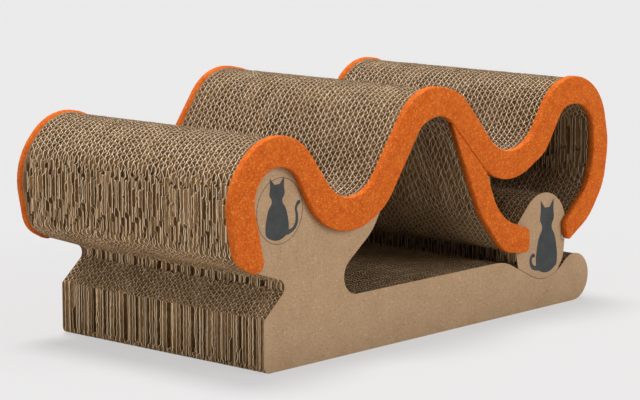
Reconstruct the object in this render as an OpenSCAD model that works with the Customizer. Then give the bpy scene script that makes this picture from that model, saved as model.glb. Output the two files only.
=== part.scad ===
// Cardboard cat scratcher: a wave of stacked corrugated boards on a slab base,
// with a second, loose piece nested under the wave and felt strips on both ends.
// X runs along the wave from the head to the curl, Y across the stack, Z up.
// The origin is under the middle of the whole, on the surface that it stands on.

/* [Overall] */
// Length from the head to the curl, over the felt
body_length = 455; // [440:1:470]
// Height of the middle hump, over the felt
body_height = 196.5; // [188:0.5:206]

/* [Boards] */
// Double-wall boards in the stack
board_count = 21; // [15:1:24]
// Thickness of one board
board_thickness = 10.4; // [8:0.1:12]
// Thickness of a smooth kraft face sheet
face_thickness = 0.5; // [0.3:0.1:1]

/* [Felt] */
// Thickness of a felt strip
felt_thickness = 5.5; // [3:0.5:8]
// Width of a felt strip
strip_width = 23; // [20:0.5:25]
// Distance that the felt stands out past the edges of the boards
felt_proud = 1.4; // [0.5:0.1:2.5]
// Radius of the strip's end under the head
strip_end_radius = 7.8; // [7:0.1:8.4]
// Width of the wave strip's end at the curl's hook
hook_width = 17; // [15:0.2:19]
// Radius of the corners of the strips' ends
strip_corner = 3.4; // [2:0.1:4]
// Width of the nested strip's end
nested_width = 20.6; // [18:0.2:23]
// Radius of the corners of the nested strip's end
nested_corner = 5.6; // [3:0.1:7]

/* [Base] */
// Height of the base's floor in the tunnel
floor_height = 45.5; // [40:0.5:49]
// Distance that the head stands out past the base
head_overhang = 40.5; // [34:0.5:46]
// Height of the base's left end
heel_height = 41.3; // [37:0.1:46]
// Radius of the base's lower left corner
heel_radius = 5; // [2:0.2:8]
// Radius of the edge over the left end
heel_edge_radius = 1.4; // [0.5:0.1:3]
// Depth of the notch under the head, from the base's left end
notch_depth = 21.4; // [16:0.2:26]
// Height of the notch's inner end
notch_height = 62; // [58:0.2:66]
// Radius of the notch's inner end
notch_radius = 6.6; // [4:0.2:8]
// Radius of the hollow at the foot of the post
hollow_radius = 14.8; // [12:0.1:17]
// Radius of the swell on the post's right side
post_radius = 38; // [33:0.5:42]
// Height of the swell's middle over the floor
post_rise = 72.4; // [66:0.2:76]

/* [Cradle] */
// Height of the cradle's lowest point
cradle_height = 24.2; // [22:0.1:28]
// Radius of the cradle
cradle_radius = 39.5; // [37:0.5:43]
// Radius of the shoulder between the floor and the cradle
shoulder_radius = 47.5; // [42:0.5:52]
// Length of the straight slope between the shoulder and the cradle
shoulder_slope = 28.88; // [25:0.01:33]
// Length of the straight slope between the cradle and the toe
toe_slope = 5; // [2:0.5:12]
// Radius of the toe
toe_radius = 20; // [18:0.1:21]

/* [Nested piece] */
// Height of the nested piece's oval end
lobe_height = 72; // [69:0.5:75]
// Running gap round the nested piece
nest_gap = 0.4; // [0.2:0.1:0.8]

/* [Hidden] */
// Angle between two points of a round edge, the least one kept, and the turn back that is let pass
arc_step = 7.5;
arc_least = 0.6;
arc_slack = 20;
full_turn = 360;
quarter_turn = 90;
name_digits = 2;
length_per_height = 2.3156;
curve_spare = 1.02;

stack_width = board_count * board_thickness;
face_plane = stack_width / 2;
felt_plane = face_plane + face_thickness;

// Length that the wave's radii are shares of: it gives way where the wave gets flatter or steeper
wave_stretch = length_per_height * body_height;
radius_span = min(body_length, wave_stretch, curve_spare * body_length * body_length / wave_stretch);

// Every outline is a belt that runs counter-clockwise round pins of [x, z, radius].
// A positive radius is a round outer edge, a negative one a hollow, zero a corner.
// The tables give x as shares of the length, height of the height, radius of the radius span.

// Upper edge from the curl's hook to the head: place, crest or trough, radius
over_shares = [
    [0.875, 0.778, 0.104],
    [0.890, 0.831, 0.105],
    [0.897, 0.899, 0.103],
    [0.892, 0.967, 0.101],
    [0.714, 0.696, -0.086],
    [0.514, 0.992, 0.104],
    [0.498, 1.000, 0.098],
    [0.289, 0.619, -0.077],
    [0.109, 0.895, 0.100],
    [0.1065, 0.882, 0.1065],
    [0.058, 0.631, 0.049]];

// Lower edge from the head to the first trough, where only the felt has it
head_under_shares = [
    [0.110, 0.895, -0.105],
    [0.1155, 0.891, -0.105],
    [0.286, 0.606, 0.068],
    [0.298, 0.620, 0.064]];

// Lower edge from the tunnel's arch to the curl's hook
under_shares = [
    [0.493, 0.988, -0.0945],
    [0.509, 0.998, -0.108],
    [0.710, 0.696, 0.063],
    [0.766, 0.748, 0.015],
    [0.886, 0.966, -0.091],
    [0.900, 0.966, -0.106],
    [0.893, 0.899, -0.114],
    [0.8715, 0.891, -0.129]];

// Middle of the hook's end, its lean from upright, and the strip's end under the head
hook_share = [0.877, 0.317];
hook_lean = 9.5;
strip_end_share = [0.059, 0.433];

// Places of the post's swell, the hollow at its foot and the cradle
post_share = 0.289;
hollow_share = 0.313;
cradle_share = 0.827;

// Branch of the nested piece: its tip, the lowest points and radii of its two edges,
// the place and foot of its end, the dip of its upper edge before that end, and the fork
tip_share = [0.5325, 0.916];
branch_under_shares = [
    [0.736, 0.384, 0.150],
    [0.767, 0.2815, 0.165],
    [0.729, 0.2655, 0.0665]];
branch_end_share = [0.768, 0.259];
branch_over_share = [0.757, 0.01267, -0.1033];
fork_share = [0.633, 0.682];

// Web of board in the fork between the branch and the wave
web_shares = [
    [0.633, 0.682],
    [0.637, 0.570],
    [0.657, 0.4885],
    [0.666, 0.494],
    [0.6665, 0.621]];

// Oval end, in shares of its own height from the cradle's lowest point
lobe_shares = [
    [-0.028, 0.579, 0.4195],
    [-0.5875, 0.622, 0],
    [-0.4485, 0.025, 0],
    [0.051, -0.197, 0],
    [0.1375, 0.297, 0.2265]];

// Direction of travel between two pins, and the turn taken at one
function heading(a, b) =
    atan2(b.y - a.y, b.x - a.x) - asin((b.z - a.z) / norm([b.x - a.x, b.y - a.y]));
function wrapped(angle) = angle - full_turn * floor((angle + arc_slack) / full_turn);
function turn_at(radius, way_in, way_out) =
    let (turn = wrapped(way_out - way_in))
    radius < 0 && turn > arc_slack ? turn - full_turn : turn;

// Angles along one pin's arc: its ends, and the whole steps between them
function arc_angles(start, turn) =
    let (way = turn < 0 ? -1 : 1)
    let (first = way * ceil((way * start + arc_least) / arc_step))
    let (last = way * floor((way * (start + turn) - arc_least) / arc_step))
    concat([start], way * last < way * first ? [] : [for (i = [first : way : last]) i * arc_step],
        abs(turn) < arc_least ? [] : [start + turn]);

// Points of one pin's arc: at a corner, and where the belt would turn back, its two runs meet in one point
function arc_points(pin, way_in, way_out) =
    let (turn = pin.z == 0 ? 0 : turn_at(pin.z, way_in, way_out))
    let (middle = way_in + turn / 2, reach = pin.z / cos(turn / 2))
    pin.z * turn <= 0 ? [[pin.x + reach * sin(middle), pin.y - reach * cos(middle)]] :
    [for (angle = arc_angles(way_in, turn)) [pin.x + pin.z * sin(angle), pin.y - pin.z * cos(angle)]];

// Pins let out by grow, sharp corners apart, and the points of the belt round all the pins
function grown(pins, grow) = [for (p = pins) p.z == 0 ? p : [p.x, p.y, p.z + grow]];
function belt(pins) =
    let (count = len(pins))
    [for (i = [0 : count - 1])
        let (before = pins[(i + count - 1) % count], after = pins[(i + 1) % count])
        each arc_points(pins[i], heading(before, pins[i]), heading(pins[i], after))];

// Pins from shares: over an edge the circle hangs below its crest, under one it stands above
function over_pin(share) =
    let (radius = share.z * radius_span)
    [share.x * body_length, share.y * body_height - radius, radius];
function under_pin(share) =
    let (radius = share.z * radius_span)
    [share.x * body_length, share.y * body_height + radius, radius + strip_width];
function low_pin(share) =
    let (radius = share.z * radius_span)
    [share.x * body_length, share.y * body_height + abs(radius), radius];
function corner_pin(share, radius = 0) = [share.x * body_length, share.y * body_height, radius];

// Two round corners of the hook's end
hook_place = corner_pin(hook_share);
hook_along = [-sin(hook_lean), cos(hook_lean)];
hook_inward = [cos(hook_lean), sin(hook_lean)];
function hook_pin(side) =
    let (across = side * (hook_width / 2 - strip_corner) * hook_along)
    let (centre = [hook_place.x, hook_place.y] + across + strip_corner * hook_inward)
    [centre.x, centre.y, strip_corner];
hook_pins = [hook_pin(1), hook_pin(-1)];

wave_over = [for (share = over_shares) over_pin(share)];
wave_under = [for (share = under_shares) under_pin(share)];
head_under = [for (share = head_under_shares) under_pin(share)];
strip_end_pin = corner_pin(strip_end_share, strip_end_radius);
wave_felt_pins = concat([strip_end_pin], head_under, wave_under, hook_pins, wave_over);

// Everything over the wave's lower edge, from the tunnel's arch to the crest over the curl
cover_shares = [[1.05, 1.1], [0.45, 1.1]];
cover_last = 4;
cover_pins = concat(
    [for (i = [0 : cover_last]) wave_under[i]],
    [for (share = cover_shares) corner_pin(share)]);

// Base: heel, toe, cradle, shoulder, hollow and post below the wave, notch behind it
base_left = head_overhang;
cradle_x = cradle_share * body_length;
toe_rise = cradle_height + cradle_radius - toe_radius;
toe_span = norm([cradle_radius + toe_radius, toe_slope]);
toe_pin = [cradle_x + sqrt((toe_span - toe_rise) * (toe_span + toe_rise)), toe_radius, toe_radius];
cradle_pin = [cradle_x, cradle_height + cradle_radius, -cradle_radius];
shoulder_rise = cradle_height + cradle_radius - floor_height + shoulder_radius;
shoulder_span = norm([cradle_radius + shoulder_radius, shoulder_slope]);
shoulder_x = cradle_x - sqrt((shoulder_span - shoulder_rise) * (shoulder_span + shoulder_rise));
shoulder_pin = [shoulder_x, floor_height - shoulder_radius, shoulder_radius];
hollow_pin = [hollow_share * body_length, floor_height + hollow_radius, -hollow_radius];
post_pin = [post_share * body_length, floor_height + post_rise, post_radius];
notch_pin = [base_left + notch_depth - notch_radius, notch_height, -notch_radius];
heel_edge_pin = [base_left + heel_edge_radius, heel_height - heel_edge_radius, heel_edge_radius];
heel_pin = [base_left + heel_radius, heel_radius, heel_radius];
base_pins = concat(
    [heel_pin, toe_pin, cradle_pin, shoulder_pin, hollow_pin, post_pin],
    grown(concat(wave_under, hook_pins, wave_over, [strip_end_pin]), -felt_proud),
    [notch_pin, heel_edge_pin]);

// Nested piece: a branch under the wave and an oval end that sits in the cradle
function lobe_pin(share) =
    [cradle_x + share.x * lobe_height, cradle_height + share.y * lobe_height, share.z * lobe_height];
branch_end = [branch_end_share.x * body_length, branch_end_share.y * body_height];
function nested_corner_pin(height) = [branch_end.x - nested_corner, branch_end.y + height, nested_corner];
branch_dip = [branch_over_share.x, branch_over_share.y + (branch_end.y + nested_width) / body_height,
    branch_over_share.z];
branch_pins = concat(
    [corner_pin(tip_share)],
    [for (share = branch_under_shares) low_pin(share)],
    [nested_corner_pin(nested_corner), nested_corner_pin(nested_width - nested_corner)],
    [low_pin(branch_dip), corner_pin(fork_share)]);
web_pins = [for (share = web_shares) corner_pin(share)];
lobe_pins = [for (share = lobe_shares) lobe_pin(share)];

function board_name(stem, i) = str(stem, len(str(i)) < name_digits ? "0" : "", i);

// Stands a flat outline up across the stack, from y towards the back
module slab(y, thickness) {
    translate([-body_length / 2, y + thickness, 0])
        rotate([quarter_turn, 0, 0])
            linear_extrude(height = thickness)
                children();
}

module base_outline() {
    polygon(belt(base_pins));
}

module nested_outline() {
    difference() {
        union() {
            polygon(belt(grown(branch_pins, -felt_proud)));
            polygon(belt(web_pins));
            polygon(belt(lobe_pins));
        }
        polygon(belt(grown(base_pins, nest_gap)));
        polygon(belt(grown(wave_felt_pins, nest_gap)));
        polygon(belt(grown(cover_pins, nest_gap)));
    }
}

module nested_felt_outline() {
    difference() {
        polygon(belt(branch_pins));
        polygon(belt(grown(wave_felt_pins, nest_gap)));
        polygon(belt(grown(cover_pins, nest_gap)));
    }
}

// Boards of the stack, counted from the front
module base_board(i) {
    color("tan") slab(-face_plane + (i - 1) * board_thickness, board_thickness) base_outline();
}

module inner_board(i) {
    color("tan") slab(-face_plane + (i - 1) * board_thickness, board_thickness) nested_outline();
}

// Smooth kraft sheets on the two ends of the stack
module base_face(y) {
    color("burlywood") slab(y, face_thickness) base_outline();
}

module inner_face(y) {
    color("burlywood") slab(y, face_thickness) nested_outline();
}

// Felt strips on the kraft sheets
module wave_felt(y) {
    color("darkorange") slab(y, felt_thickness) polygon(belt(wave_felt_pins));
}

module inner_felt(y) {
    color("darkorange") slab(y, felt_thickness) nested_felt_outline();
}

for (i = [1 : board_count]) {
    base_board(i);
    inner_board(i);
}
base_face(-felt_plane);  // base_face_front
base_face(face_plane);  // base_face_back
inner_face(-felt_plane);  // inner_face_front
inner_face(face_plane);  // inner_face_back
wave_felt(-felt_plane - felt_thickness);  // wave_felt_front
wave_felt(felt_plane);  // wave_felt_back
inner_felt(-felt_plane - felt_thickness);  // inner_felt_front
inner_felt(felt_plane);  // inner_felt_back
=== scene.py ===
import math
import random

import bmesh
import bpy
from mathutils import Matrix, Vector, noise


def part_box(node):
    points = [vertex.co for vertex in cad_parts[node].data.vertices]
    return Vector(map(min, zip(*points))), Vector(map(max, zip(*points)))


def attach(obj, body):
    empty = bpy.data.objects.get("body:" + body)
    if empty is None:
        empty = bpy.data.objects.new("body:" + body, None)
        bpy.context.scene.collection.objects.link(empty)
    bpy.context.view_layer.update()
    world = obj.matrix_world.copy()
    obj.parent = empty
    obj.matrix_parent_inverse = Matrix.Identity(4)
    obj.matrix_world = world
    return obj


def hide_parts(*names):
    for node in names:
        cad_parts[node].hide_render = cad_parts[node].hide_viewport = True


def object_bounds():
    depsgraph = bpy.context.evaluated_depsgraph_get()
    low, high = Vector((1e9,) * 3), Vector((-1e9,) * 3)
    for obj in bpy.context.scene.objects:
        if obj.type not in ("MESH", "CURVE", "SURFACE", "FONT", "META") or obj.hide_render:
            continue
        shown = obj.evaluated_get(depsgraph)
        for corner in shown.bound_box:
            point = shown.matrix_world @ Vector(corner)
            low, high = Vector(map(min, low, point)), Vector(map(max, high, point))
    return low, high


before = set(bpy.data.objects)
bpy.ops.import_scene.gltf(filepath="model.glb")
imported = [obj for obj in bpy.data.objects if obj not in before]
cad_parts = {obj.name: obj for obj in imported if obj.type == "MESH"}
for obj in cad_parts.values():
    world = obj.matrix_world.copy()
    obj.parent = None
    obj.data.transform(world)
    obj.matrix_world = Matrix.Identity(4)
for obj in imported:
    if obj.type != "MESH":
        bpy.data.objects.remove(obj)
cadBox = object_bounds()
mm = 0.001


# the photo's camera, fitted to the edges of the scratcher: turn and dip in degrees, lens and sensor in mm
camera = {
    "place": (-1.51268, -1.36651, 0.42226), "turn": 47.7926, "dip": 9.1039,
    "lens": 143.72, "sensor": 36, "near": 0.05, "far": 30}


def makeCamera(c):
    data = bpy.data.cameras.new("photoCamera")
    data.lens = c["lens"]
    data.sensor_width = c["sensor"]
    data.clip_start, data.clip_end = c["near"], c["far"]
    obj = bpy.data.objects.new("photoCamera", data)
    bpy.context.scene.collection.objects.link(obj)
    obj.location = c["place"]
    obj.rotation_euler = (math.radians(90 - c["dip"]), 0, math.radians(-c["turn"]))
    bpy.context.scene.camera = obj


makeCamera(camera)


# small helpers for materials
def newMaterial(name):
    material = bpy.data.materials.new(name)
    material.use_nodes = True
    tree = material.node_tree
    return material, tree.nodes, tree.links, tree.nodes["Principled BSDF"]


def addNode(nodes, kind, **settings):
    node = nodes.new(kind)
    for key, value in settings.items():
        setattr(node, key, value)
    return node


def setRamp(node, stops):
    ramp = node.color_ramp
    while len(ramp.elements) < len(stops):
        ramp.elements.new(0.5)
    for element, (place, colour) in zip(ramp.elements, stops):
        element.position = place
        element.color = (*colour, 1)


# linear colour of an 8-bit screen colour
def fromScreen(*screen):
    shares = [value / 255 for value in screen]
    return tuple(((s + 0.055) / 1.055) ** 2.4 if s > 0.04 else s / 12.92 for s in shares)


# mottle: two noises that lighten and darken a finish, as the fibres of recycled paper and felt do
mottle = {
    "sockets": (("Broad Scale", 30), ("Fine Scale", 900), ("Broad Share", 0.5)),
    "broadDetail": 3, "fineDetail": 4, "fineRoughness": 0.7}


def buildMottle(m):
    group = bpy.data.node_groups.new("fibreMottle", "ShaderNodeTree")
    face = group.interface
    face.new_socket("Vector", in_out="INPUT", socket_type="NodeSocketVector")
    for name, value in m["sockets"]:
        socket = face.new_socket(name, in_out="INPUT", socket_type="NodeSocketFloat")
        socket.default_value = value
    face.new_socket("Mottle", in_out="OUTPUT", socket_type="NodeSocketFloat")
    face.new_socket("Fibres", in_out="OUTPUT", socket_type="NodeSocketFloat")
    nodes, links = group.nodes, group.links
    entry, leave = nodes.new("NodeGroupInput"), nodes.new("NodeGroupOutput")
    broad = addNode(nodes, "ShaderNodeTexNoise")
    broad.inputs["Detail"].default_value = m["broadDetail"]
    fine = addNode(nodes, "ShaderNodeTexNoise")
    fine.inputs["Detail"].default_value = m["fineDetail"]
    fine.inputs["Roughness"].default_value = m["fineRoughness"]
    mix = addNode(nodes, "ShaderNodeMix", data_type="FLOAT")
    links.new(entry.outputs["Vector"], broad.inputs["Vector"])
    links.new(entry.outputs["Vector"], fine.inputs["Vector"])
    links.new(entry.outputs["Broad Scale"], broad.inputs["Scale"])
    links.new(entry.outputs["Fine Scale"], fine.inputs["Scale"])
    links.new(entry.outputs["Broad Share"], mix.inputs[0])  # factor, then the two numbers it mixes
    links.new(fine.outputs["Fac"], mix.inputs[2])
    links.new(broad.outputs["Fac"], mix.inputs[3])
    links.new(mix.outputs[0], leave.inputs["Mottle"])
    links.new(fine.outputs["Fac"], leave.inputs["Fibres"])
    return group


mottleGroup = buildMottle(mottle)
evenStretch = (1, 1, 1)  # a finish without a grain
fleckMottle = {"fineRatio": 2.3, "share": 0.75}


def mottleNode(nodes, links, broad, fine, share, stretch):
    where = addNode(nodes, "ShaderNodeTexCoord")
    mapping = addNode(nodes, "ShaderNodeMapping")
    mapping.inputs["Scale"].default_value = stretch
    links.new(where.outputs["Object"], mapping.inputs["Vector"])
    node = addNode(nodes, "ShaderNodeGroup", node_tree=mottleGroup)
    links.new(mapping.outputs["Vector"], node.inputs["Vector"])
    node.inputs["Broad Scale"].default_value = broad
    node.inputs["Fine Scale"].default_value = fine
    node.inputs["Broad Share"].default_value = share
    return node


# a matt finish: mottled colour, flecks over it, and a bump from the same fibres
def finishMaterial(name, look):
    material, nodes, links, shader = newMaterial(name)
    stretch = look.get("stretch", evenStretch)
    fibres = mottleNode(nodes, links, look["broad"], look["fine"], look["share"], stretch)
    ramp = addNode(nodes, "ShaderNodeValToRGB")
    setRamp(ramp, [(place, fromScreen(*colour)) for place, colour in look["ramp"]])
    links.new(fibres.outputs["Mottle"], ramp.inputs["Fac"])
    colour = ramp.outputs["Color"]
    for fleck in look.get("flecks", ()):
        stretch = fleck.get("stretch", evenStretch)
        fine = fleck["scale"] * fleckMottle["fineRatio"]
        spots = mottleNode(nodes, links, fleck["scale"], fine, fleckMottle["share"], stretch)
        reach = addNode(nodes, "ShaderNodeMapRange")
        reach.inputs["From Min"].default_value, reach.inputs["From Max"].default_value = fleck["from"]
        reach.inputs["To Max"].default_value = fleck["strength"]
        blend = addNode(nodes, "ShaderNodeMix", data_type="RGBA")
        blend.inputs[7].default_value = (*fromScreen(*fleck["colour"]), 1)
        links.new(spots.outputs["Mottle"], reach.inputs["Value"])
        links.new(reach.outputs[0], blend.inputs[0])  # factor, then the two colours it mixes
        links.new(colour, blend.inputs[6])
        colour = blend.outputs[2]
    links.new(colour, shader.inputs["Base Color"])
    bump = addNode(nodes, "ShaderNodeBump")
    bump.inputs["Strength"].default_value = look["bump"]
    bump.inputs["Distance"].default_value = look["height"]
    links.new(fibres.outputs["Fibres"], bump.inputs["Height"])
    links.new(bump.outputs["Normal"], shader.inputs["Normal"])
    shader.inputs["Roughness"].default_value = look["roughness"]
    shader.inputs["Specular IOR Level"].default_value = look["gloss"]
    if "sheen" in look:
        shader.inputs["Sheen Weight"].default_value = look["sheen"]
        shader.inputs["Sheen Roughness"].default_value = look["sheenRoughness"]
        shader.inputs["Sheen Tint"].default_value = (*fromScreen(*look["sheenTint"]), 1)
    return material


# colours are 8-bit screen colours, noise scales count per metre
# the fluting paper: its own brown, darkened further as painted shade for the insides of the flutes
paintedShadePaperLook = {
    "broad": 55, "fine": 700, "share": 0.45, "stretch": (1, 1, 0.35),
    "roughness": 0.9, "gloss": 0.15, "bump": 0.35, "height": 0.6 * mm,
    "ramp": [(0.3, (84, 57, 31)), (0.5, (126, 95, 59)), (0.7, (172, 140, 100))]}
# the cut edges: paler cut fibre, lightened further as painted light on the cut tops
paintedLightCutLook = {
    "broad": 120, "fine": 1500, "share": 0.5,
    "roughness": 0.95, "gloss": 0.1, "bump": 0.5, "height": 0.5 * mm,
    "ramp": [(0.3, (208, 175, 136)), (0.5, (240, 211, 174)), (0.7, (253, 233, 206))]}
kraftLook = {
    "broad": 45, "fine": 620, "share": 0.35,
    "roughness": 0.88, "gloss": 0.2, "bump": 0.12, "height": 0.4 * mm,
    "ramp": [(0.25, (150, 120, 90)), (0.5, (168, 138, 106)), (0.75, (184, 154, 121))],
    "flecks": [
        {"scale": 420, "from": (0.54, 0.7), "strength": 0.55, "colour": (122, 92, 64)},
        {"scale": 500, "from": (0.56, 0.72), "strength": 0.5, "colour": (222, 194, 160),
         "stretch": (0.6, 1, 1.4)}]}
feltLook = {
    "broad": 130, "fine": 1100, "share": 0.4,
    "roughness": 0.95, "gloss": 0.1, "bump": 0.7, "height": 0.9 * mm,
    "sheen": 0.2, "sheenRoughness": 0.6, "sheenTint": (255, 164, 50),
    "ramp": [(0.28, (166, 62, 18)), (0.42, (190, 82, 25)), (0.56, (204, 97, 32)), (0.75, (220, 122, 48))],
    "flecks": [
        {"scale": 520, "from": (0.5, 0.66), "strength": 0.6, "colour": (150, 52, 18)},
        {"scale": 640, "from": (0.52, 0.7), "strength": 0.6, "colour": (255, 162, 62),
         "stretch": (0.8, 1, 1.2)}]}
inkLook = {
    "broad": 90, "fine": 900, "share": 0.4,
    "roughness": 0.8, "gloss": 0.2, "bump": 0.1, "height": 0.3 * mm,
    "ramp": [(0.3, (50, 53, 53)), (0.5, (62, 65, 65)), (0.75, (78, 80, 79))]}
# a thin line darker than the kraft around it
thinLineLook = {
    "broad": 60, "fine": 900, "share": 0.4, "stretch": (1, 1, 0.3),
    "roughness": 0.9, "gloss": 0.1, "bump": 0.1, "height": 0.3 * mm,
    "ramp": [(0.3, (132, 104, 74)), (0.7, (176, 146, 112))]}

# a shaded and a lit copy of the same paper: painted shade inside the board, painted light on its cut edges
paintedShadePaper = finishMaterial("flutingPaperPaintedShade", paintedShadePaperLook)
paintedLightCutEdge = finishMaterial("cutPaperEdgePaintedLight", paintedLightCutLook)
kraft = finishMaterial("kraftFace", kraftLook)
felt = finishMaterial("orangeFelt", feltLook)
ink = finishMaterial("darkInk", inkLook)
thinLineKraft = finishMaterial("thinDarkLineKraft", thinLineLook)
print("materials made")


# how near two points or planes count as one, and how much of a face's normal has to lie along Y
same = {"point": 0.001 * mm, "plane": 0.01 * mm, "facing": 0.9}


# one flat outline face of a CAD node, seen from the front, with its loose triangles merged
def frontOutline(nodeName, shortest):
    flat = bmesh.new()
    flat.from_mesh(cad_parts[nodeName].data)
    bmesh.ops.remove_doubles(flat, verts=flat.verts, dist=same["point"])
    bmesh.ops.recalc_face_normals(flat, faces=flat.faces)
    front = min(v.co.y for v in flat.verts)
    deepest = front + same["plane"]
    others = [f for f in flat.faces if -f.normal.y < same["facing"] or f.calc_center_median().y > deepest]
    bmesh.ops.delete(flat, geom=others, context="FACES")
    bmesh.ops.dissolve_faces(flat, faces=flat.faces)
    bmesh.ops.translate(flat, verts=flat.verts, vec=(0, -front, 0))
    bmesh.ops.remove_doubles(flat, verts=flat.verts, dist=shortest)
    return flat


# cuts long edges down by halves, so that a sheet's edge can wander
def cutLongEdges(sheet, longest):
    span = max(e.calc_length() for e in sheet.edges)
    for halving in range(max(0, math.ceil(math.log2(span / longest)))):
        edges = [e for e in sheet.edges if e.calc_length() > longest]
        bmesh.ops.subdivide_edges(sheet, edges=edges, cuts=1, use_grid_fill=False)


# how the edges of the sheets are drawn in and torn; waves count per metre, the turn is in degrees
tearing = {
    "slowWaves": 60, "slowSeed": 7.31, "fineWaves": 420, "fineSeed": 3.17, "ledgeSeed": 0.37,
    "uprightRise": 9, "ground": 0.8 * mm, "wedgeTurn": 120, "wedgeCalm": 20 * mm}


# noise from 0 to 1 at a place on a sheet
def noiseShare(place, waves, seed):
    return 0.5 + 0.5 * noise.noise(Vector((place.x * waves, seed, place.z * waves)))


# the tips of an outline's thin wedges, where it turns back sharply
def wedgeTips(outline):
    tips = []
    for face in outline.faces:
        for loop in face.loops:
            here = loop.vert.co
            before = here - loop.link_loop_prev.vert.co
            after = loop.link_loop_next.vert.co - here
            if before.angle(after, 0) > math.radians(tearing["wedgeTurn"]):
                tips.append(here.copy())
    return tips


# draws a sheet's edge in: in slow waves, in fine steps, and on upright stretches in ledges along the flutes
# it draws less towards a wedge's tip, so that the two sides don't cross
def ruffle(sheet, edge, seed, tips):
    moves = []
    for face in sheet.faces:
        for loop in face.loops:
            here = loop.vert.co
            along = loop.link_loop_next.vert.co - loop.link_loop_prev.vert.co
            if here.z < tearing["ground"] or along.length == 0:
                continue
            out = along.cross(face.normal).normalized()
            slow = noiseShare(here, tearing["slowWaves"], seed * tearing["slowSeed"])
            fine = noiseShare(here, tearing["fineWaves"], seed * tearing["fineSeed"])
            upright = min(max(abs(out.x) - edge["steep"], 0) * tearing["uprightRise"], 1)
            ledge = math.copysign(here.x, here.x * out.x) / edge["ledge"] + seed * tearing["ledgeSeed"]
            draw = edge["slow"] * slow + edge["fine"] * fine
            draw += (ledge - math.floor(ledge)) * upright * edge["ledge"]
            draw *= min([1] + [(here - tip).length / tearing["wedgeCalm"] for tip in tips])
            moves.append((loop.vert, out * -max(draw, 0)))
    for vert, move in moves:
        vert.co += move


# a flat sheet of board, front at y
def plateOf(outline, y, thickness):
    plate = outline.copy()
    bmesh.ops.solidify(plate, geom=plate.faces[:], thickness=thickness)
    bmesh.ops.recalc_face_normals(plate, faces=plate.faces)
    low = min(v.co.y for v in plate.verts)
    bmesh.ops.translate(plate, verts=plate.verts, vec=(0, y - low, 0))
    return plate


def meshFrom(bm, name, materials=()):
    mesh = bpy.data.meshes.new(name)
    bm.to_mesh(mesh)
    bm.free()
    for material in materials:
        mesh.materials.append(material)
    return mesh


def newObject(name, mesh):
    obj = bpy.data.objects.new(name, mesh)
    bpy.context.scene.collection.objects.link(obj)
    return obj


# the corrugated stack: each board has three liners and two fluted media between them
corrugation = {
    "liner": 0.42 * mm, "outerShare": 0.7, "medium": 0.6 * mm, "pitch": 3.4 * mm, "steps": 6,
    "wander": 1.6, "wanderWaves": 18, "lean": 2.5, "crush": 0.2, "crushWaves": (35, 20), "crushSeed": 50,
    "shortest": 0.8 * mm, "longest": 2.6 * mm, "spare": 10 * mm, "seeds": 5,
    "linerEdge": {"slow": 0.5 * mm, "fine": 1.3 * mm, "ledge": 2.4 * mm, "steep": 0.84},
    "mediumEdge": {"slow": 0.3 * mm, "fine": 0.6 * mm, "ledge": 3.6 * mm, "steep": 0.84}}


# a wavy medium between two liners: a grid bent to the flutes, then given its thickness
def fluting(low, high, y, depth, c, rng):
    wave = bmesh.new()
    wide = high.x - low.x + 2 * c["spare"]
    tall = high.z - low.z + 2 * c["spare"]
    columns = int(wide / c["pitch"] * c["steps"])
    bmesh.ops.create_grid(wave, x_segments=columns, y_segments=1, size=0.5)
    bmesh.ops.scale(wave, verts=wave.verts, vec=(wide, tall, 1))
    bmesh.ops.rotate(wave, verts=wave.verts, matrix=Matrix.Rotation(math.radians(90), 3, "X"))
    bmesh.ops.translate(wave, verts=wave.verts, vec=((low.x + high.x) / 2, y, (low.z + high.z) / 2))
    phase, seed = rng.uniform(0, math.tau), rng.uniform(0, 100)
    lean = rng.uniform(-c["lean"], c["lean"])
    crushX, crushZ = c["crushWaves"]
    reach = (depth - c["liner"] - c["medium"]) / 2
    for v in wave.verts:
        drift = c["wander"] * noise.noise(Vector((v.co.x * c["wanderWaves"], seed, 0)))
        angle = math.tau * v.co.x / c["pitch"] + phase + drift + lean * v.co.z
        crushed = noise.noise(Vector((v.co.x * crushX, seed + c["crushSeed"], v.co.z * crushZ)))
        v.co.y += reach * (1 - c["crush"] * (0.5 + 0.5 * crushed)) * math.sin(angle)
    bmesh.ops.solidify(wave, geom=wave.faces[:], thickness=c["medium"])
    bmesh.ops.recalc_face_normals(wave, faces=wave.faces)
    return wave


# one mesh from two closed ones, such as a wavy medium cut to the outline of its layer
def combined(bodyShape, toolShape, operation, bodyMaterials, toolMaterials):
    body = newObject("combineBody", meshFrom(bodyShape, "combineBody", bodyMaterials))
    tool = newObject("combineTool", meshFrom(toolShape, "combineTool", toolMaterials))
    step = body.modifiers.new("combine", "BOOLEAN")
    step.operation, step.solver, step.object = operation, "MANIFOLD", tool
    step.material_mode = "TRANSFER"
    ready = body.evaluated_get(bpy.context.evaluated_depsgraph_get())
    result = bpy.data.meshes.new_from_object(ready)
    for obj in (body, tool):
        mesh = obj.data
        bpy.data.objects.remove(obj)
        bpy.data.meshes.remove(mesh)
    return result


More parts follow.
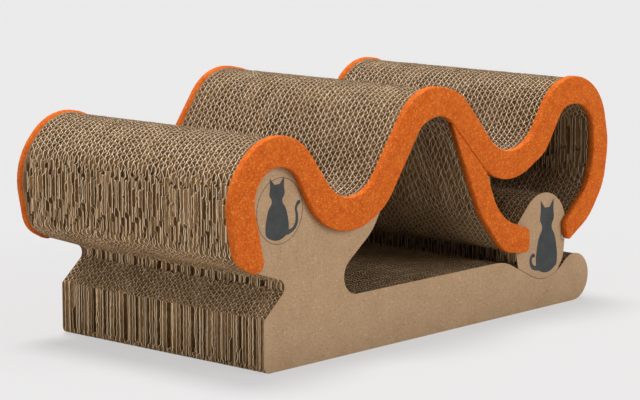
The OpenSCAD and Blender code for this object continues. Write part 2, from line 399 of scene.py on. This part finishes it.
def buildBoard(nodeName, number, outline, tips, rng):
    c = corrugation
    low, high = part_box(nodeName)
    layer = (high.y - low.y) / 2
    board = bmesh.new()
    for k in range(3):  # the liners, flat paper with a cut edge
        flat = outline.copy()
        cutLongEdges(flat, c["longest"])
        ruffle(flat, c["linerEdge"], number * c["seeds"] + k + rng.uniform(0, 1), tips)
        thickness = c["liner"] if k == 1 else c["liner"] * c["outerShare"]
        y = (low.y, low.y + layer - thickness / 2, high.y - thickness)[k]
        plate = plateOf(flat, y, thickness)
        flat.free()
        for face in plate.faces:
            # faces along Y take the paper darkened as painted shade, the cut faces the paper lightened as
            # painted light
            face.material_index = 0 if abs(face.normal.y) > same["facing"] else 1
        mesh = meshFrom(plate, "liner")
        board.from_mesh(mesh)
        bpy.data.meshes.remove(mesh)
    for k in range(2):  # the media, cut to a torn outline of their own
        flat = outline.copy()
        cutLongEdges(flat, c["longest"])
        ruffle(flat, c["mediumEdge"], number * c["seeds"] + 3 + k + rng.uniform(0, 1), tips)
        cutter = plateOf(flat, low.y + k * layer, layer)
        flat.free()
        wave = fluting(low, high, low.y + (k + 0.5) * layer, layer, c, rng)
        # the wave keeps the paper darkened as painted shade, its cut faces take the edge lightened as
        # painted light
        mesh = combined(wave, cutter, "INTERSECT", [paintedShadePaper, paintedLightCutEdge], [paintedLightCutEdge])
        board.from_mesh(mesh)
        bpy.data.meshes.remove(mesh)
    piece = newObject(nodeName.replace("board", "corrugated"),
                      meshFrom(board, nodeName + "Layers", [paintedShadePaper, paintedLightCutEdge]))
    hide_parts(nodeName)
    return piece


# every board of a stack, each with its own random draws
def buildStack(stem, body, seed):
    outline = frontOutline(stem + "01", corrugation["shortest"])
    tips = wedgeTips(outline)
    count = sum(1 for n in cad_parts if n.startswith(stem))
    for number in range(1, count + 1):
        rng = random.Random(seed + number)
        piece = buildBoard(f"{stem}{number:02d}", number, outline, tips, rng)
        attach(piece, body)
    outline.free()
    print(stem, count, "boards made")


buildStack("base_board_", "scratcher", 100)
buildStack("inner_board_", "nested_piece", 500)


# the felt strips, soft along their outer edges; flat is in degrees
feltEdge = {"round": 1.0 * mm, "segments": 2, "tip": 1.6 * mm, "flat": 0.5}


def buildFelt(nodeName, body, name):
    strip = bmesh.new()
    strip.from_mesh(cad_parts[nodeName].data)
    bmesh.ops.remove_doubles(strip, verts=strip.verts, dist=same["point"])
    flat = math.radians(feltEdge["flat"])
    bmesh.ops.dissolve_limit(strip, angle_limit=flat, verts=strip.verts, edges=strip.edges)
    low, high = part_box(nodeName)
    tip = [v for v in strip.verts if v.co.x < low.x + feltEdge["tip"]]  # too thin there for its round edge
    bmesh.ops.remove_doubles(strip, verts=tip, dist=feltEdge["tip"])
    outside = low.y if low.y + high.y < 0 else high.y
    rim = [e for e in strip.edges if all(abs(v.co.y - outside) < same["plane"] for v in e.verts)]
    bmesh.ops.bevel(strip, geom=rim, offset=feltEdge["round"], segments=feltEdge["segments"],
                    affect="EDGES", profile=0.5, material=-1, clamp_overlap=False)
    bmesh.ops.recalc_face_normals(strip, faces=strip.faces)
    for face in strip.faces:
        face.smooth = True
    piece = newObject(name, meshFrom(strip, name, [felt]))
    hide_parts(nodeName)
    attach(piece, body)


buildFelt("wave_felt_front", "scratcher", "waveFeltFront")
buildFelt("wave_felt_back", "scratcher", "waveFeltBack")
buildFelt("inner_felt_front", "nested_piece", "innerFeltFront")
buildFelt("inner_felt_back", "nested_piece", "innerFeltBack")
print("felt made")

# the smooth kraft sheets keep their CAD shape
for nodeName in ("base_face_front", "base_face_back", "inner_face_front", "inner_face_back"):
    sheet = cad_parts[nodeName]
    sheet.data.materials.clear()
    sheet.data.materials.append(kraft)


# prints on the front kraft sheets: two sitting cats of a plain design, seen from behind
# half of a cat, in mm across and up from the middle of its foot, with each knot's handle
catHalf = [
    (10.5, 0.3, "AUTO"), (12, 5.5, "AUTO"), (11.2, 13, "AUTO"), (9, 21, "AUTO"), (5.4, 28, "AUTO"),
    (7.8, 33, "AUTO"), (7.2, 38.5, "AUTO"), (7.4, 46.5, "VECTOR"), (2.6, 41, "VECTOR")]
# places are from the scratcher's left end and the floor, tails in mm as the cats are
prints = {
    "depth": 0.06 * mm, "sink": 0.02 * mm, "smoothness": 8, "tailRoot": 1.7, "tailTip": 1.1,
    "ring": {"x": 56.8 * mm, "z": 119.5 * mm, "radius": 24.5 * mm, "width": 0.45 * mm, "segments": 120},
    "thinLine": {"x": 138 * mm, "width": 0.35 * mm, "top": 29 * mm},
    "upperCat": {
        "x": 54 * mm, "z": 101.4 * mm, "wide": 1.04, "tall": 0.93,
        "tail": [(8, 2.2), (14.5, 2.4), (19.5, 7), (20.3, 14), (19.6, 20.5), (23.2, 25)]},
    "lowerCat": {
        "x": 379 * mm, "z": 33 * mm, "wide": 1.2, "tall": 1.23,
        "tail": [(-6, 2.2), (-12.5, 1.2), (-17.3, 4.6), (-16.8, 9.4), (-13.4, 9.8)]}}


# a flat closed shape through points of (across, up, handle), as a mesh in the x-z plane
def flatShape(points, depth):
    curve = bpy.data.curves.new("flatShape", "CURVE")
    curve.dimensions, curve.fill_mode = "2D", "BOTH"
    curve.extrude, curve.resolution_u = depth / 2, prints["smoothness"]
    spline = curve.splines.new("BEZIER")
    spline.bezier_points.add(len(points) - 1)
    spline.use_cyclic_u = True
    for knot, (across, up, handle) in zip(spline.bezier_points, points):
        knot.co = (across, up, 0)
        knot.handle_left_type = knot.handle_right_type = handle
    holder = newObject("flatShape", curve)
    ready = holder.evaluated_get(bpy.context.evaluated_depsgraph_get())
    mesh = bpy.data.meshes.new_from_object(ready)
    bpy.data.objects.remove(holder)
    bpy.data.curves.remove(curve)
    shape = bmesh.new()
    shape.from_mesh(mesh)
    bpy.data.meshes.remove(mesh)
    bmesh.ops.remove_doubles(shape, verts=shape.verts, dist=same["point"] / 10)
    bmesh.ops.rotate(shape, verts=shape.verts, matrix=Matrix.Rotation(math.radians(90), 3, "X"))
    bmesh.ops.recalc_face_normals(shape, faces=shape.faces)
    return shape


# both edges of a tail that narrows from its root to its tip
def tailOutline(route, root, tip):
    sides = ([], [])
    last = len(route) - 1
    for i, (across, up) in enumerate(route):
        before, after = route[max(i - 1, 0)], route[min(i + 1, last)]
        along = Vector((after[0] - before[0], after[1] - before[1])).normalized()
        half = root + (tip - root) * i / last
        sides[0].append((across - along.y * half, up + along.x * half, "AUTO"))
        sides[1].append((across + along.y * half, up - along.x * half, "AUTO"))
    return sides[0] + sides[1][::-1]


def placePrint(shape, name, x, z, sheetName, body, material):
    low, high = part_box(sheetName)
    y = low.y + prints["sink"] - prints["depth"] / 2
    bmesh.ops.translate(shape, verts=shape.verts, vec=(cadBox[0][0] + x, y, z))
    piece = newObject(name, meshFrom(shape, name, [material]))
    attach(piece, body)


def buildCat(name, cat, sheetName, body):
    outline = catHalf + [(-across, up, handle) for across, up, handle in reversed(catHalf)]
    shapes = []
    for points in (outline, tailOutline(cat["tail"], prints["tailRoot"], prints["tailTip"])):
        sized = [(across * cat["wide"] * mm, up * cat["tall"] * mm, handle) for across, up, handle in points]
        shapes.append(flatShape(sized, prints["depth"]))
    mesh = combined(*shapes, "UNION", [ink], [ink])
    both = bmesh.new()
    both.from_mesh(mesh)
    bpy.data.meshes.remove(mesh)
    placePrint(both, name, cat["x"], cat["z"], sheetName, body, ink)


def buildRing(ring):
    shape = bmesh.new()
    inner = ring["radius"] - ring["width"] / 2
    bmesh.ops.create_circle(shape, segments=ring["segments"], radius=inner)
    made = bmesh.ops.extrude_edge_only(shape, edges=shape.edges[:])
    outer = [v for v in made["geom"] if isinstance(v, bmesh.types.BMVert)]
    grow = 1 + ring["width"] / inner
    bmesh.ops.scale(shape, verts=outer, vec=(grow, grow, 1))
    bmesh.ops.solidify(shape, geom=shape.faces[:], thickness=prints["depth"])
    bmesh.ops.rotate(shape, verts=shape.verts, matrix=Matrix.Rotation(math.radians(90), 3, "X"))
    bmesh.ops.recalc_face_normals(shape, faces=shape.faces)
    placePrint(shape, "printedRing", ring["x"], ring["z"], "base_face_front", "scratcher", ink)


# a thin upright line on the front kraft sheet, darker than the kraft around it
def buildThinLine(thinLine):
    shape = bmesh.new()
    bmesh.ops.create_cube(shape, size=1)
    bmesh.ops.scale(shape, verts=shape.verts, vec=(thinLine["width"], prints["depth"], thinLine["top"]))
    placePrint(shape, "thinDarkLine", thinLine["x"], thinLine["top"] / 2, "base_face_front", "scratcher", thinLineKraft)


buildCat("upperCatPrint", prints["upperCat"], "base_face_front", "scratcher")
buildCat("lowerCatPrint", prints["lowerCat"], "inner_face_front", "nested_piece")
buildRing(prints["ring"])
buildThinLine(prints["thinLine"])
print("prints made")


# floor, backdrop and light: the camera sees the backdrop's colour with a share of the ground's shadow
studio = {
    "size": 12, "drop": 0.2 * mm, "backdrop": (231, 230, 230), "shadow": 0.34,
    "ground": (180, 179, 179), "roughness": 0.9, "gloss": 0.1, "skyLow": 0.06, "skyHigh": 0.6,
    "lamps": {
        "softKey": {"from": (0.1, 0.2, 1.0), "power": 4.3, "soft": 22},
        "leftFill": {"from": (-1.0, 0.0, 0.1), "power": 0.9, "soft": 20},
        "frontFill": {"from": (0.35, -0.9, 0.42), "power": 1.7, "soft": 35}}}


def buildFloor(s):
    floor = bmesh.new()
    bmesh.ops.create_grid(floor, x_segments=1, y_segments=1, size=s["size"])
    obj = newObject("studioFloor", meshFrom(floor, "studioFloor"))
    obj.location.z = -s["drop"]
    material, nodes, links, shader = newMaterial("paleFloor")
    shader.inputs["Base Color"].default_value = (*fromScreen(*s["ground"]), 1)
    shader.inputs["Roughness"].default_value = s["roughness"]
    shader.inputs["Specular IOR Level"].default_value = s["gloss"]
    glow = addNode(nodes, "ShaderNodeEmission")
    glow.inputs["Color"].default_value = (*fromScreen(*s["backdrop"]), 1)
    path = addNode(nodes, "ShaderNodeLightPath")
    share = addNode(nodes, "ShaderNodeMath", operation="MULTIPLY")
    share.inputs[1].default_value = 1 - s["shadow"]
    mix = addNode(nodes, "ShaderNodeMixShader")
    links.new(path.outputs["Is Camera Ray"], share.inputs[0])
    links.new(share.outputs[0], mix.inputs[0])
    links.new(shader.outputs[0], mix.inputs[1])
    links.new(glow.outputs[0], mix.inputs[2])
    links.new(mix.outputs[0], nodes["Material Output"].inputs["Surface"])
    obj.data.materials.append(material)


def buildSky(s):
    world = bpy.data.worlds.new("studioWorld")
    bpy.context.scene.world = world
    world.use_nodes = True
    nodes, links = world.node_tree.nodes, world.node_tree.links
    light = nodes["Background"]
    light.inputs["Color"].default_value = (1, 1, 1, 1)
    where = addNode(nodes, "ShaderNodeTexCoord")  # the sky brightens towards its top
    parts = addNode(nodes, "ShaderNodeSeparateXYZ")
    rise = addNode(nodes, "ShaderNodeMapRange")
    rise.inputs["To Min"].default_value, rise.inputs["To Max"].default_value = s["skyLow"], s["skyHigh"]
    links.new(where.outputs["Generated"], parts.inputs[0])
    links.new(parts.outputs["Z"], rise.inputs["Value"])
    links.new(rise.outputs[0], light.inputs["Strength"])
    seen = addNode(nodes, "ShaderNodeBackground")
    seen.inputs["Color"].default_value = (*fromScreen(*s["backdrop"]), 1)
    path = addNode(nodes, "ShaderNodeLightPath")
    mix = addNode(nodes, "ShaderNodeMixShader")
    links.new(path.outputs["Is Camera Ray"], mix.inputs[0])
    links.new(light.outputs[0], mix.inputs[1])
    links.new(seen.outputs[0], mix.inputs[2])
    links.new(mix.outputs[0], nodes["World Output"].inputs["Surface"])


def buildLamps(s):
    for name, light in s["lamps"].items():
        data = bpy.data.lights.new(name, "SUN")
        data.energy, data.angle = light["power"], math.radians(light["soft"])
        lamp = bpy.data.objects.new(name, data)
        bpy.context.scene.collection.objects.link(lamp)
        lamp.rotation_euler = (-Vector(light["from"])).to_track_quat("-Z", "Y").to_euler()


buildFloor(studio)
buildSky(studio)
buildLamps(studio)
print("studio made")
bpy.context.scene.view_settings.view_transform = "Standard"

print("object made")
